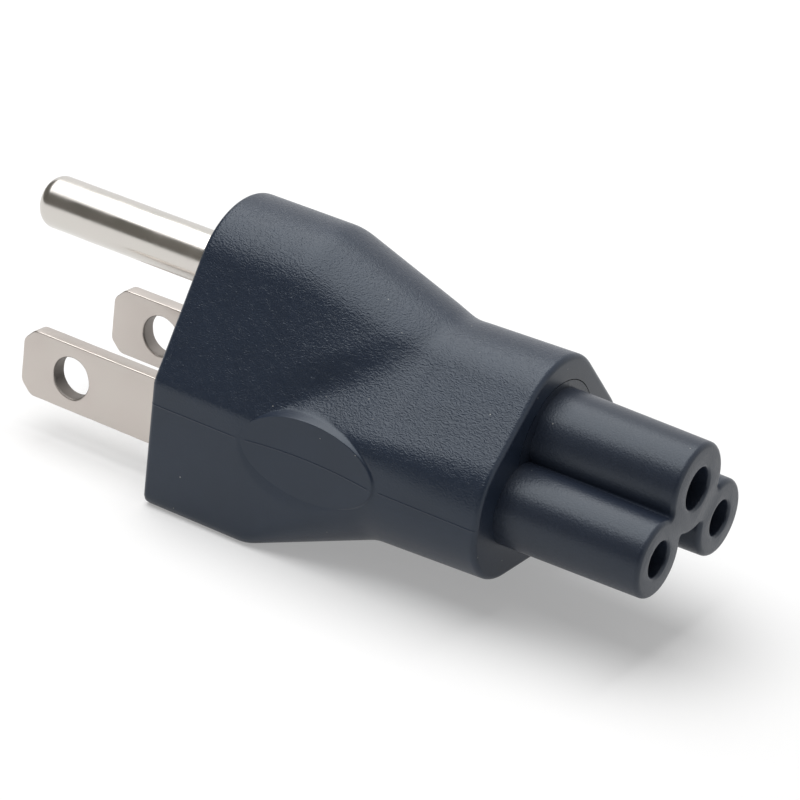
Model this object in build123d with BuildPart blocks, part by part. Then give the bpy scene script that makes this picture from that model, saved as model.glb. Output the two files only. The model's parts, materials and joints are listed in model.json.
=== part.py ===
"""Moulded mains adapter: a grounded flat-blade plug at one end, a three-lobed appliance socket at the other.

Millimetres. +X runs from the plug to the socket, +Z is up with the ground pin above the blades, and the
origin is at the middle of the underside. The head's flat underside lies on Z = 0.
"""

import math
import os

from build123d import *

# Plug blades and ground pin, outside the plug face
blade_pitch = 12.7
blade_height = 6.2
blade_thickness = 1.5
blade_length = 16.9
blade_tip_chamfer = 1.1
blade_edge_break = 0.12
blade_hole_diameter = 4.0
blade_hole_reach = 11.55
pin_diameter = 4.75
pin_length = 20.5
pin_tip_round = 1.2
pin_rise = 12.0

# Bridge that holds blades and pin at their pitch
bridge_depth = 5.0
bridge_margin = 3.6
bridge_lip = 1.6
bridge_waist = 0.7

# Inner ends of blades and pin, behind the bridge
shank_reach = 3.6
shank_corner = 1.5
shank_hole_diameter = 2.0
pin_shank_reach = 2.4
pin_shank_diameter = 4.2
pin_groove_depth = 0.5
pin_groove_width = 1.2
barrel_length = 4.0
barrel_wall = 0.6

# Socket: two live holes side by side, the earth hole above them
socket_length = 13.2
socket_line_z = 9.9
live_pitch = 10.0
earth_rise = 4.45
live_hole_diameter = 3.06
earth_hole_diameter = 3.6
mouth_depth = 2.5
mouth_break = 0.25
live_lobe_radius = 3.45
earth_lobe_radius = 4.0
lobe_notch_round = 0.35
lobe_rim_break = 0.35

# Anchor of the socket core inside the neck
core_collar_radius = 5.6
core_collar_drop = 0.95
core_collar_length = 3.0
core_flange_length = 2.2
core_flange_margin = 1.3

# Contact sleeves
live_contact_bore = 2.6
earth_contact_bore = 3.2
contact_wall = 0.35
contact_clearance = 0.05
contact_length = 10.6
contact_slot_width = 0.45
contact_slot_length = 7.0

# Leads between the blades and the contact sleeves
conductor_diameter = 1.2
insulation_diameter = 2.4
lead_straight = 2.6

# Moulded body, from plug face to front face, with its cover over the inserts
blade_line_z = 6.3
head_length = 9.7
taper_length = 12.2
floor_taper_lead = 0.9
floor_taper_length = 10.8
neck_length = 10.3
head_side_cover = 5.0
head_roof_cover = 6.9
neck_side_cover = 6.1
neck_roof_cover = 6.6
neck_roof_rise = 0.28
neck_floor_cover = 6.9
neck_floor_rise = 0.4
head_ridge_radius = 6.85
neck_ridge_radius = 6.3
head_shoulder_rise = 5.25
neck_shoulder_rise = 6.4
head_shoulder_round = 1.5
neck_shoulder_round = 7.0
head_corner_round = 1.0
neck_corner_round = 5.7
side_land = 0.4
bend_half_length = 0.8
bend_stations = 5
taper_stations = 4
rim_round = 0.4

# Finger pads on both sides of the taper
pad_length = 12.85
pad_height = 6.95
pad_lead = 6.08
pad_rise = 3.38
pad_sink = 0.05
pad_scoop = 0.9
pad_root = 2.5
pad_excess = 0.6
pad_wall_slope = 0.1

# Stations along the adapter, heights and widths
total_length = pin_length + head_length + taper_length + neck_length + socket_length
face_x = pin_length - total_length / 2
bridge_x = face_x + bridge_depth
taper_x = face_x + head_length
neck_x = taper_x + taper_length
floor_taper_x = taper_x + floor_taper_lead
floor_neck_x = floor_taper_x + floor_taper_length
front_x = neck_x + neck_length
end_x = front_x + socket_length
blade_offset = blade_pitch / 2
live_offset = live_pitch / 2
pin_line_z = blade_line_z + pin_rise
earth_line_z = socket_line_z + earth_rise
head_shoulder_z = blade_line_z + head_shoulder_rise
neck_shoulder_z = blade_line_z + neck_shoulder_rise
head_half_width = blade_offset + head_side_cover
head_top_z = pin_line_z + head_roof_cover
neck_half_width = live_offset + neck_side_cover
neck_top_z = earth_line_z + neck_roof_cover
neck_floor_z = socket_line_z - neck_floor_cover
conductor_radius = conductor_diameter / 2
barrel_radius = conductor_radius + barrel_wall

os.makedirs("parts", exist_ok=True)

# Flat blades: stamped plates with clipped tips, a hole near the tip, a pierced shank that the
# moulding grips, and a crimp barrel for the lead
blades = []
blade_tip_x = face_x - blade_length
shank_x = bridge_x + shank_reach
blade_barrel_x = shank_x + barrel_length
for blade_name, blade_y in (("line_blade", -blade_offset), ("neutral_blade", blade_offset)):
    with BuildPart() as blade:
        with BuildSketch(Plane.XZ.offset(-blade_y)):
            with Locations(((blade_tip_x + shank_x) / 2, blade_line_z)):
                Rectangle(shank_x - blade_tip_x, blade_height)
            chamfer(vertices().group_by(Axis.X)[0], blade_tip_chamfer)
            chamfer(vertices().group_by(Axis.X)[-1], shank_corner)
            with Locations((face_x - blade_hole_reach, blade_line_z)):
                Circle(blade_hole_diameter / 2, mode=Mode.SUBTRACT)
            with Locations((bridge_x + (shank_reach - barrel_wall) / 2, blade_line_z)):
                Circle(shank_hole_diameter / 2, mode=Mode.SUBTRACT)
        extrude(amount=blade_thickness / 2, both=True)
        tip_edges = edges().filter_by_position(
            Axis.X, blade_tip_x - blade_tip_chamfer, blade_tip_x + blade_tip_chamfer
        )
        chamfer(tip_edges.filter_by(Axis.Y, reverse=True).filter_by(Axis.X, reverse=True), blade_edge_break)
        with BuildSketch(Plane.YZ.offset(shank_x - barrel_wall)):
            with Locations((blade_y, blade_line_z)):
                Circle(barrel_radius)
        extrude(amount=barrel_length + barrel_wall)
        with BuildSketch(Plane.YZ.offset(blade_barrel_x)):
            with Locations((blade_y, blade_line_z)):
                Circle(conductor_radius)
        extrude(amount=-barrel_length, mode=Mode.SUBTRACT)
    blade.part.label = blade_name
    export_step(blade.part, f"parts/{blade_name}.step")
    blades.append(blade.part)

# Ground pin: a turned rod with a rounded tip, stepped down at the plug face to a shank with a groove for
# the moulding and a crimp cup for the lead
pin_radius = pin_diameter / 2
pin_shank_radius = pin_shank_diameter / 2
pin_tip_x = face_x - pin_length
pin_shank_x = bridge_x + pin_shank_reach
pin_barrel_x = pin_shank_x + barrel_length
groove_x = bridge_x + (pin_shank_reach - pin_groove_width) / 2
with BuildPart() as ground_pin:
    with BuildSketch(Plane.XZ):
        with BuildLine():
            Polyline(
                (pin_tip_x, pin_line_z),
                (pin_tip_x, pin_line_z + pin_radius),
                (face_x, pin_line_z + pin_radius),
                (face_x, pin_line_z + pin_shank_radius),
                (groove_x, pin_line_z + pin_shank_radius),
                (groove_x, pin_line_z + pin_shank_radius - pin_groove_depth),
                (groove_x + pin_groove_width, pin_line_z + pin_shank_radius - pin_groove_depth),
                (groove_x + pin_groove_width, pin_line_z + pin_shank_radius),
                (pin_shank_x, pin_line_z + pin_shank_radius),
                (pin_shank_x, pin_line_z + barrel_radius),
                (pin_barrel_x, pin_line_z + barrel_radius),
                (pin_barrel_x, pin_line_z + conductor_radius),
                (pin_shank_x, pin_line_z + conductor_radius),
                (pin_shank_x, pin_line_z),
                close=True,
            )
        make_face()
        fillet(vertices().group_by(Axis.X)[0].sort_by(Axis.Y)[-1], pin_tip_round)
    revolve(axis=Axis((0, 0, pin_line_z), (1, 0, 0)))
ground_pin.part.label = "ground_pin"
export_step(ground_pin.part, "parts/ground_pin.step")

# Bridge: a rounded triangular plate flush with the plug face, with slots for the blades and a hole for
# the pin, waisted behind the face so that the moulding locks on it
with BuildPart() as blade_bridge:
    with BuildSketch(Plane.YZ.offset(face_x)) as bridge_outline:
        with Locations((-blade_offset, blade_line_z), (blade_offset, blade_line_z), (0, pin_line_z)):
            Circle(bridge_margin)
        make_hull()
    extrude(amount=bridge_depth)
    with BuildSketch(Plane.YZ.offset(face_x + bridge_lip)):
        add(bridge_outline.sketch_local)
        offset(bridge_outline.sketch_local, amount=-bridge_waist, mode=Mode.SUBTRACT)
    extrude(amount=bridge_depth - 2 * bridge_lip, mode=Mode.SUBTRACT)
    for blade_part in blades:
        add(blade_part, mode=Mode.SUBTRACT)
    add(ground_pin.part, mode=Mode.SUBTRACT)
blade_bridge.part.label = "blade_bridge"
export_step(blade_bridge.part, "parts/blade_bridge.step")

# Contact sleeves: rolled from strip, slotted so that they spring on the appliance's pins, stepped down
# to a crimp barrel at the back
sleeve_end_x = end_x - mouth_depth
sleeve_x = sleeve_end_x - contact_length
lead_end_x = sleeve_x - barrel_length
contacts = []
for pole, contact_y, contact_z, bore in (
    ("line", -live_offset, socket_line_z, live_contact_bore),
    ("neutral", live_offset, socket_line_z, live_contact_bore),
    ("earth", 0, earth_line_z, earth_contact_bore),
):
    inner_radius = bore / 2
    outer_radius = inner_radius + contact_wall
    with BuildPart() as contact:
        with BuildSketch(Plane.XZ.offset(-contact_y)):
            with BuildLine():
                Polyline(
                    (sleeve_end_x, contact_z + inner_radius),
                    (sleeve_end_x, contact_z + outer_radius),
                    (sleeve_x, contact_z + outer_radius),
                    (sleeve_x, contact_z + barrel_radius),
                    (lead_end_x, contact_z + barrel_radius),
                    (lead_end_x, contact_z + conductor_radius),
                    (sleeve_x + contact_wall, contact_z + conductor_radius),
                    (sleeve_x + contact_wall, contact_z + inner_radius),
                    close=True,
                )
            make_face()
        revolve(axis=Axis((0, contact_y, contact_z), (1, 0, 0)))
        with Locations((sleeve_end_x - contact_slot_length / 2, contact_y, contact_z)):
            Box(contact_slot_length, 4 * outer_radius, contact_slot_width, mode=Mode.SUBTRACT)
    contact.part.label = f"{pole}_contact"
    export_step(contact.part, f"parts/{pole}_contact.step")
    contacts.append(contact.part)

# Leads: stranded conductors in their sheaths, each cranked from its barrel to its contact, with the
# sheath stripped inside the two barrels
leads = []
for pole, lead_y, lead_z, barrel_x, contact_y, contact_z in (
    ("line", -blade_offset, blade_line_z, blade_barrel_x, -live_offset, socket_line_z),
    ("neutral", blade_offset, blade_line_z, blade_barrel_x, live_offset, socket_line_z),
    ("earth", 0, pin_line_z, pin_barrel_x, 0, earth_line_z),
):
    first_bend = (barrel_x + lead_straight, lead_y, lead_z)
    second_bend = (lead_end_x - lead_straight, contact_y, contact_z)
    with BuildPart() as conductor:
        with BuildLine() as conductor_path:
            Polyline(
                (barrel_x - barrel_length, lead_y, lead_z),
                first_bend,
                second_bend,
                (sleeve_x, contact_y, contact_z),
            )
        with BuildSketch(Plane.YZ.offset(barrel_x - barrel_length)):
            with Locations((lead_y, lead_z)):
                Circle(conductor_radius)
        sweep(path=conductor_path.line, transition=Transition.RIGHT)
    conductor.part.label = f"{pole}_conductor"
    export_step(conductor.part, f"parts/{pole}_conductor.step")
    leads.append(conductor.part)

    with BuildPart() as insulation:
        with BuildLine() as sheath_path:
            Polyline(
                (barrel_x, lead_y, lead_z),
                first_bend,
                second_bend,
                (lead_end_x, contact_y, contact_z),
            )
        with BuildSketch(Plane.YZ.offset(barrel_x)):
            with Locations((lead_y, lead_z)):
                Circle(insulation_diameter / 2)
                Circle(conductor_radius, mode=Mode.SUBTRACT)
        sweep(path=sheath_path.line, transition=Transition.RIGHT)
    insulation.part.label = f"{pole}_insulation"
    export_step(insulation.part, f"parts/{pole}_insulation.step")
    leads.append(insulation.part)

# Socket core: the three-lobed nose, its root and a round collar inside the neck with the collar's end
# flush with the front face, and a flange that locks the core in the moulding
live_spots = [(-live_offset, socket_line_z), (live_offset, socket_line_z)]
earth_spot = (0, earth_line_z)
core_back_x = front_x - core_collar_length - core_flange_length

with BuildPart() as core_blank:
    with BuildSketch(Plane.YZ.offset(front_x)) as nose_outline:
        with Locations(*live_spots):
            Circle(live_lobe_radius)
        with Locations(earth_spot):
            Circle(earth_lobe_radius)
        offset(amount=lobe_notch_round)
        offset(amount=-lobe_notch_round)
    extrude(amount=socket_length)
    chamfer(faces().sort_by(Axis.X)[-1].edges(), lobe_rim_break)
    with BuildSketch(Plane.YZ.offset(front_x)):
        add(nose_outline.sketch_local)
        with Locations((0, earth_line_z - core_collar_drop)):
            Circle(core_collar_radius)
    extrude(amount=-core_collar_length)
    with BuildSketch(Plane.YZ.offset(core_back_x)):
        with Locations(*live_spots):
            Circle(live_lobe_radius + core_flange_margin)
        with Locations(earth_spot):
            Circle(earth_lobe_radius + core_flange_margin)
        make_hull()
    extrude(amount=core_flange_length)

with BuildPart() as socket_core:
    add(core_blank.part)
    for spots, mouth_diameter, bore in (
        (live_spots, live_hole_diameter, live_contact_bore),
        ([earth_spot], earth_hole_diameter, earth_contact_bore),
    ):
        with BuildSketch(Plane.YZ.offset(core_back_x)):
            with Locations(*spots):
                Circle(bore / 2 + contact_wall + contact_clearance)
        extrude(amount=sleeve_end_x - core_back_x, mode=Mode.SUBTRACT)
        with BuildSketch(Plane.YZ.offset(end_x)):
            with Locations(*spots):
                Circle(mouth_diameter / 2)
        extrude(amount=-mouth_depth, mode=Mode.SUBTRACT)
    chamfer(faces().sort_by(Axis.X)[-1].inner_wires().edges(), mouth_break)
socket_core.part.label = "socket_core"
export_step(socket_core.part, "parts/socket_core.step")


# Moulded body: a head with upright sides and a round ridge, tapering above and below to the neck,
# moulded round the bridge, the blades, the pin, the leads and the socket core
def eased_ramp(x, ramp_start_x, ramp_end_x):
    """Give the share of a straight taper passed at x, with the bends at its two ends rounded."""

    def hinge(distance):
        """Rise from nothing to a straight slope through a rounded bend."""
        if distance <= -bend_half_length:
            return 0
        if distance >= bend_half_length:
            return distance
        return (distance + bend_half_length) ** 2 / (4 * bend_half_length)

    return (hinge(x - ramp_start_x) - hinge(x - ramp_end_x)) / (ramp_end_x - ramp_start_x)


def moulding_section(x):
    """Draw the moulding's cross-section at x: flat floor, upright sides, sloping shoulders, round ridge."""
    roof_share = eased_ramp(x, taper_x, neck_x)
    floor_share = eased_ramp(x, floor_taper_x, floor_neck_x)
    half_width = head_half_width + roof_share * (neck_half_width - head_half_width)
    neck_share = max(x - neck_x, 0) / neck_length
    floor_z = floor_share * neck_floor_z + neck_share * neck_floor_rise
    top_z = head_top_z + roof_share * (neck_top_z - head_top_z) + neck_share * neck_roof_rise
    ridge_radius = head_ridge_radius + roof_share * (neck_ridge_radius - head_ridge_radius)
    ridge_z = top_z - ridge_radius
    corner_round = head_corner_round + floor_share * (neck_corner_round - head_corner_round)
    shoulder_z = head_shoulder_z + roof_share * (neck_shoulder_z - head_shoulder_z)
    shoulder_round = head_shoulder_round + roof_share * (neck_shoulder_round - head_shoulder_round)
    shoulder_bearing = math.atan2(shoulder_z - ridge_z, half_width)
    shoulder_swing = math.acos(ridge_radius / math.hypot(half_width, shoulder_z - ridge_z))
    touch_angle = shoulder_bearing + shoulder_swing
    corner_limit = shoulder_z - shoulder_round * math.tan(touch_angle / 2) - side_land - floor_z
    touch_y = ridge_radius * math.cos(touch_angle)
    touch_z = ridge_z + ridge_radius * math.sin(touch_angle)
    with BuildSketch() as section:
        with BuildLine():
            sides = Polyline(
                (-touch_y, touch_z),
                (-half_width, shoulder_z),
                (-half_width, floor_z),
                (half_width, floor_z),
                (half_width, shoulder_z),
                (touch_y, touch_z),
            )
            ThreePointArc(sides @ 1, (0, top_z), sides @ 0)
        make_face()
        corners = vertices().sort_by(Axis.Y)
        fillet(corners[:2], min(corner_round, corner_limit))
        fillet(corners[2:4], shoulder_round)
    return section.sketch


def evenly(start_x, end_x, count):
    """Spread stations evenly from start_x to end_x, both included."""
    return [start_x + (end_x - start_x) * step / (count - 1) for step in range(count)]


first_bend_x = min(taper_x, floor_taper_x) - bend_half_length
first_slope_x = max(taper_x, floor_taper_x) + bend_half_length
last_slope_x = min(neck_x, floor_neck_x) - bend_half_length
last_bend_x = max(neck_x, floor_neck_x) + bend_half_length
body_zones = [
    evenly(first_bend_x, first_slope_x, bend_stations),
    evenly(first_slope_x, last_slope_x, taper_stations),
    evenly(last_slope_x, last_bend_x, bend_stations),
    [last_bend_x, front_x],
]
pad_x = taper_x + pad_lead
pad_z = blade_line_z + pad_rise
pad_crown_y = head_half_width - pad_sink
pad_root_y = pad_crown_y - pad_root
scoop_length_radius = (pad_length / 2) ** 2 / (2 * pad_scoop) + pad_scoop / 2
scoop_height_radius = (pad_height / 2) ** 2 / (2 * pad_scoop) + pad_scoop / 2

# Finger pads: dished ovals with sloping walls that stand out of the narrowing shoulders
pads = []
for side in (-1, 1):
    with BuildPart() as pad:
        for level in (-pad_root, pad_excess):
            with BuildSketch(Plane.XZ.offset(-side * (pad_crown_y + level))):
                with Locations((pad_x, pad_z)):
                    Ellipse(pad_length / 2 - level * pad_wall_slope, pad_height / 2 - level * pad_wall_slope)
        loft(ruled=True)
        with Locations((pad_x, side * (pad_crown_y - pad_scoop + scoop_length_radius), pad_z)):
            Torus(scoop_length_radius - scoop_height_radius, scoop_height_radius, mode=Mode.SUBTRACT)
    pads.append(pad.part)

with BuildPart() as overmould_body:
    with BuildSketch(Plane.YZ.offset(face_x)):
        add(moulding_section(face_x))
    extrude(amount=first_bend_x - face_x)
    fillet(faces().sort_by(Axis.X)[0].edges(), rim_round)
    for zone_xs in body_zones:
        for station_x in zone_xs:
            with BuildSketch(Plane.YZ.offset(station_x)):
                add(moulding_section(station_x))
        loft()
    fillet(faces().sort_by(Axis.X)[-1].edges(), rim_round)
    for side, pad_part in zip((-1, 1), pads):
        with BuildSketch(Plane.XZ.offset(-side * pad_root_y)):
            with Locations((pad_x, pad_z)):
                Ellipse(pad_length / 2, pad_height / 2)
        extrude(amount=-side * head_half_width, mode=Mode.SUBTRACT)
        add(pad_part)
    for insert in [*blades, ground_pin.part, blade_bridge.part, *contacts, *leads, core_blank.part]:
        add(insert, mode=Mode.SUBTRACT)
overmould_body.part.label = "overmould_body"
export_step(overmould_body.part, "parts/overmould_body.step")
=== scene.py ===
"""Looks of a moulded power adapter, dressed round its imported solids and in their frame."""

import json
import math
from collections import namedtuple

import bmesh
import bpy
from mathutils import Matrix, Vector, noise
from mathutils.geometry import delaunay_2d_cdt


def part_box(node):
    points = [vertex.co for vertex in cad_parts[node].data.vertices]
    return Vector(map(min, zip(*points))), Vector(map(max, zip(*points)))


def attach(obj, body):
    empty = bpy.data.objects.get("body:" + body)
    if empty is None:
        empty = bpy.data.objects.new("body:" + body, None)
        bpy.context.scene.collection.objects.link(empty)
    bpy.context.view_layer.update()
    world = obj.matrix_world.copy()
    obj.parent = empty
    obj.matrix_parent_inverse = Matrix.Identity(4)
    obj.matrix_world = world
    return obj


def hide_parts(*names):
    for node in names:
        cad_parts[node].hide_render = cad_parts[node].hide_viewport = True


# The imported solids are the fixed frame. Their box is kept for the size test, and the mounts in the record
# say where the blades, the pin and the holes lie. Pieces are drawn in millimetres and scaled when finished.
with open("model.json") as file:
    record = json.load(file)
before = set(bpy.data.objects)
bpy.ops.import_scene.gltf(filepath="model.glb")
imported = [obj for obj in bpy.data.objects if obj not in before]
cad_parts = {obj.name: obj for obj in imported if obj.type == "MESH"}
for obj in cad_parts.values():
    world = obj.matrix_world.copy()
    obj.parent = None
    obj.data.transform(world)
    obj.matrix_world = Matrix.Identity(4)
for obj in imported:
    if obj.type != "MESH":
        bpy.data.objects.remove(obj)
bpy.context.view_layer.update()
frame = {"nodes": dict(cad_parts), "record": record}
mm = 0.001
mount_at = {mount["name"]: Vector(mount["pos_m"]) / mm for mount in frame["record"]["mounts"]}


def box_in_mm(node):
    """Give a solid's lowest and highest corner in millimetres."""
    low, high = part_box(node)
    return low / mm, high / mm


# Flat blades: stamped from brass strip and nickel plated, with clipped tips and a hole punched near the tip.
# Their shanks are pierced for the moulding and end in a rolled crimp barrel for the lead.
blade_thickness = 1.5
blade_tip_clip = 1.1
blade_shank_clip = 1.5
blade_shank_hole_radius = 1.0
blade_hole_radius = 1.88
blade_hole_roll = 0.2
blade_corner_round = 0.9
blade_edge_round = 0.1
blade_edge_wander = 0.45
blade_outline_step = 0.45
barrel_length = 4.0
barrel_wall = 0.6
conductor_radius = 0.6
shank_hole_setback = 1.5
edge_steps = 4
blade_hole_points = 64
shank_hole_points = 32
barrel_segments = 40
# darkening of the punched hole's wall: partly rough torn metal, partly painted shade
torn_and_shaded_share = 0.5
torn_roughness = 0.6
weld_gap = 1e-6


def rounded_outline(corners, radius, step):
    """Run round a polygon with its corners rounded, in points about one step apart."""
    points = []
    count = len(corners)
    for i, corner in enumerate(corners):
        to_last = (corners[i - 1] - corner).normalized()
        to_next = (corners[(i + 1) % count] - corner).normalized()
        half_angle = to_last.angle(to_next) / 2
        setback = radius / math.tan(half_angle)
        centre = corner + (to_last + to_next).normalized() * radius / math.sin(half_angle)
        start = corner + to_last * setback - centre
        sweep = math.pi - 2 * half_angle
        for k in range(edge_steps + 1):
            turned = start.copy()
            turned.rotate(Matrix.Rotation(sweep * k / edge_steps, 2))
            points.append(centre + turned)
        following = corners[(i + 1) % count]
        after = corners[(i + 2) % count]
        next_half = (corner - following).angle(after - following) / 2
        reach = (following - corner).length - setback - radius / math.tan(next_half)
        pieces = max(1, round(reach / step))
        points += [points[-1] + to_next * reach * k / pieces for k in range(1, pieces)]
    return points


def on_circle(centre, radius, angle):
    """Give the spot on a circle at an angle."""
    return Vector((centre[0] + radius * math.cos(angle), centre[1] + radius * math.sin(angle)))


def circle_outline(centre, radius, count, turn=1):
    """Run round a circle, with turn -1 for the clockwise rim of a hole."""
    return [on_circle(centre, radius, turn * 2 * math.pi * k / count) for k in range(count)]


def quarter_turns(steps):
    """Give the angles from nothing to a quarter turn, ends included."""
    return [math.pi / 2 * k / steps for k in range(steps + 1)]


def left_normals(outline):
    """Give the unit normal to the left of each point of a closed outline."""
    count = len(outline)
    runs = [outline[(i + 1) % count] - outline[i - 1] for i in range(count)]
    return [Vector((-run.y, run.x)).normalized() for run in runs]


def add_ring(shell, points):
    """Add one closed row of vertices to a shell."""
    return [shell.verts.new(point) for point in points]


def join_rings(shell, first, second):
    """Skin the strip between two closed rows of equal length."""
    count = len(first)
    for i in range(count):
        j = (i + 1) % count
        shell.faces.new((first[i], first[j], second[j], second[i]))


def fill_rings(shell, rings, first_axis, second_axis):
    """Fill the flat area inside the first row, which runs anticlockwise, and outside the clockwise others."""
    corners, loops = [], []
    for index, ring in enumerate(rings):
        loops.append(list(range(len(corners), len(corners) + len(ring))))
        corners += ring[::-1] if index else ring
    flat = [Vector((vertex.co[first_axis], vertex.co[second_axis])) for vertex in corners]
    _, _, triangles, sources, _, owners = delaunay_2d_cdt(flat, [], loops, 1, weld_gap)
    for triangle, owner in zip(triangles, owners):
        if list(owner) == [0]:
            shell.faces.new([corners[sources[i][0]] for i in triangle])


def add_turned(shell, profile, axis, segments):
    """Turn a profile of (x, radius) about a line along X, closed to a point where the radius is nothing."""
    rings = []
    for x, radius in profile:
        if radius == 0:
            rings.append(add_ring(shell, [(x, axis.y, axis.z)]))
            continue
        angles = [2 * math.pi * k / segments for k in range(segments)]
        rings.append(add_ring(
            shell, [(x, axis.y + radius * math.cos(a), axis.z + radius * math.sin(a)) for a in angles]
        ))
    for first, second in zip(rings, rings[1:]):
        if len(first) == len(second):
            join_rings(shell, first, second)
            continue
        tip, ring = sorted((first, second), key=len)
        for i in range(segments):
            shell.faces.new((tip[0], ring[i], ring[(i + 1) % segments]))


def add_object(name, data):
    """Put a new object into the scene."""
    made = bpy.data.objects.new(name, data)
    bpy.context.scene.collection.objects.link(made)
    return made


def finish_piece(name, shell, material, slot, *nodes, crease=35):
    """Turn a shell into a piece in metres that rides with the solids and stands for the named ones."""
    bmesh.ops.recalc_face_normals(shell, faces=shell.faces)
    mesh = bpy.data.meshes.new(name)
    shell.to_mesh(mesh)
    shell.free()
    mesh.transform(Matrix.Scale(mm, 4))
    mesh.shade_smooth()
    mesh.set_sharp_from_angle(angle=math.radians(crease))
    mesh.materials.append(material)
    piece = add_object(name, mesh)
    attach(piece, "root")
    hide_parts(*nodes)


def node_maker(tree):
    """Give two calls for a node tree: one adds a node, one links an output to an input."""

    def node(kind, **settings):
        """Add a node, with properties by name and inputs by name or number with a leading underscore."""
        made = tree.nodes.new(kind)
        for key, value in settings.items():
            if not key.startswith("_"):
                setattr(made, key, value)
                continue
            label = key[1:].replace("_", " ")
            socket = made.inputs[int(label) if label.isdigit() else label]
            if isinstance(value, bpy.types.NodeSocket):
                tree.links.new(value, socket)
            else:
                socket.default_value = value
        return made

    def wire(source, target):
        """Link an output to an input."""
        tree.links.new(source, target)

    return node, wire


def new_material(name):
    """Start a node material with one principled shader, and give it with its node calls and places in mm."""
    material = bpy.data.materials.new(name)
    material.use_nodes = True
    shader = material.node_tree.nodes["Principled BSDF"]
    node, wire = node_maker(material.node_tree)
    place = node("ShaderNodeTexCoord").outputs["Object"]
    in_mm = node("ShaderNodeVectorMath", operation="SCALE", _Vector=place, _Scale=1 / mm).outputs["Vector"]
    return material, shader, node, wire, in_mm


def plated_metal(name, colour, roughness, streak_scale, streak_depth, punched=None):
    """Satin plate: fine drawing streaks, faint clouds in tint and gloss, and torn metal in a punched hole,
    rougher and darker there; the darkening is partly painted shade.
    """
    material, shader, node, wire, in_mm = new_material(name)
    along = node("ShaderNodeVectorMath", operation="MULTIPLY", _Vector=in_mm, _1=streak_scale)
    streaks = node("ShaderNodeTexNoise", _Vector=along.outputs["Vector"], _Scale=1.0, _Detail=3.0)
    clouds = node("ShaderNodeTexNoise", _Vector=in_mm, _Scale=0.35, _Detail=3.0)
    pits = node("ShaderNodeTexNoise", _Vector=in_mm, _Scale=7.0, _Detail=2.0)
    gloss = node(
        "ShaderNodeMapRange", _Value=clouds.outputs["Fac"], _From_Min=0.3, _From_Max=0.7,
        _To_Min=roughness - 0.05, _To_Max=roughness + 0.06,
    )
    tint = node(
        "ShaderNodeMix", data_type="RGBA", _Factor=clouds.outputs["Fac"],
        _A=(0.95 * colour[0], 0.97 * colour[1], 0.96 * colour[2], 1),
        _B=(1.04 * colour[0], 1.02 * colour[1], 1.03 * colour[2], 1),
    )
    shade, satin = tint.outputs["Result"], gloss.outputs["Result"]
    # inside the punched hole: rougher torn metal, and a colour darkened partly as painted shade of the hole's
    # inside
    if punched:
        flat = node("ShaderNodeVectorMath", operation="MULTIPLY", _Vector=in_mm, _1=(1, 0, 1)).outputs["Vector"]
        hole_at = (punched.x, 0, punched.z)
        reach = node("ShaderNodeVectorMath", operation="DISTANCE", _Vector=flat, _1=hole_at).outputs["Value"]
        torn_reach = blade_hole_radius + blade_hole_roll / 3
        inside = node("ShaderNodeMath", operation="LESS_THAN", _Value=reach, _1=torn_reach).outputs["Value"]
        torn_and_shaded_colour = (*[torn_and_shaded_share * c for c in colour], 1)
        torn = node("ShaderNodeMix", data_type="RGBA", _Factor=inside, _A=shade, _B=torn_and_shaded_colour)
        rough = node("ShaderNodeMath", operation="MULTIPLY", _Value=inside, _1=torn_roughness)
        dull = node("ShaderNodeMath", operation="MAXIMUM", _Value=satin, _1=rough.outputs["Value"])
        shade, satin = torn.outputs["Result"], dull.outputs["Value"]
    wire(shade, shader.inputs["Base Color"])
    wire(satin, shader.inputs["Roughness"])
    relief = node(
        "ShaderNodeMath", operation="MULTIPLY_ADD", _0=pits.outputs["Fac"], _1=0.5, _2=streaks.outputs["Fac"]
    )
    bump = node("ShaderNodeBump", _Strength=1.0, _Distance=streak_depth * mm, _Height=relief.outputs["Value"])
    wire(bump.outputs["Normal"], shader.inputs["Normal"])
    shader.inputs["Metallic"].default_value = 1.0
    return material


blade_metal = plated_metal(
    "blade_nickel", (0.55, 0.505, 0.47), 0.33, (0.5, 3.0, 6.0), 0.0012, mount_at["line_blade_hole"]
)


def add_plate(shell, outlines, middle_y, thickness):
    """Add a flat plate from its outline and the rims of its holes, with rounded, slightly uneven edges."""
    quarter = [(1 - math.sin(turn), 1 - math.cos(turn)) for turn in quarter_turns(edge_steps)]
    near_rims, far_rims = [], []
    for outline, edge_round in outlines:
        rows = []
        inward = left_normals(outline)
        for side, steps in ((-1, quarter), (1, quarter[::-1])):
            for inset, drop in steps:
                row = []
                for point, normal in zip(outline, inward):
                    wander = noise.noise(Vector((point.x, 3 * side + middle_y, point.y)))
                    edge = edge_round * (1 + blade_edge_wander * wander)
                    spot = point + normal * edge * inset
                    row.append((spot.x, middle_y + side * (thickness / 2 - edge * drop), spot.y))
                rows.append(add_ring(shell, row))
        for first, second in zip(rows, rows[1:]):
            join_rings(shell, first, second)
        near_rims.append(rows[0])
        far_rims.append(rows[-1])
    fill_rings(shell, near_rims, 0, 2)
    fill_rings(shell, far_rims, 0, 2)


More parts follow.
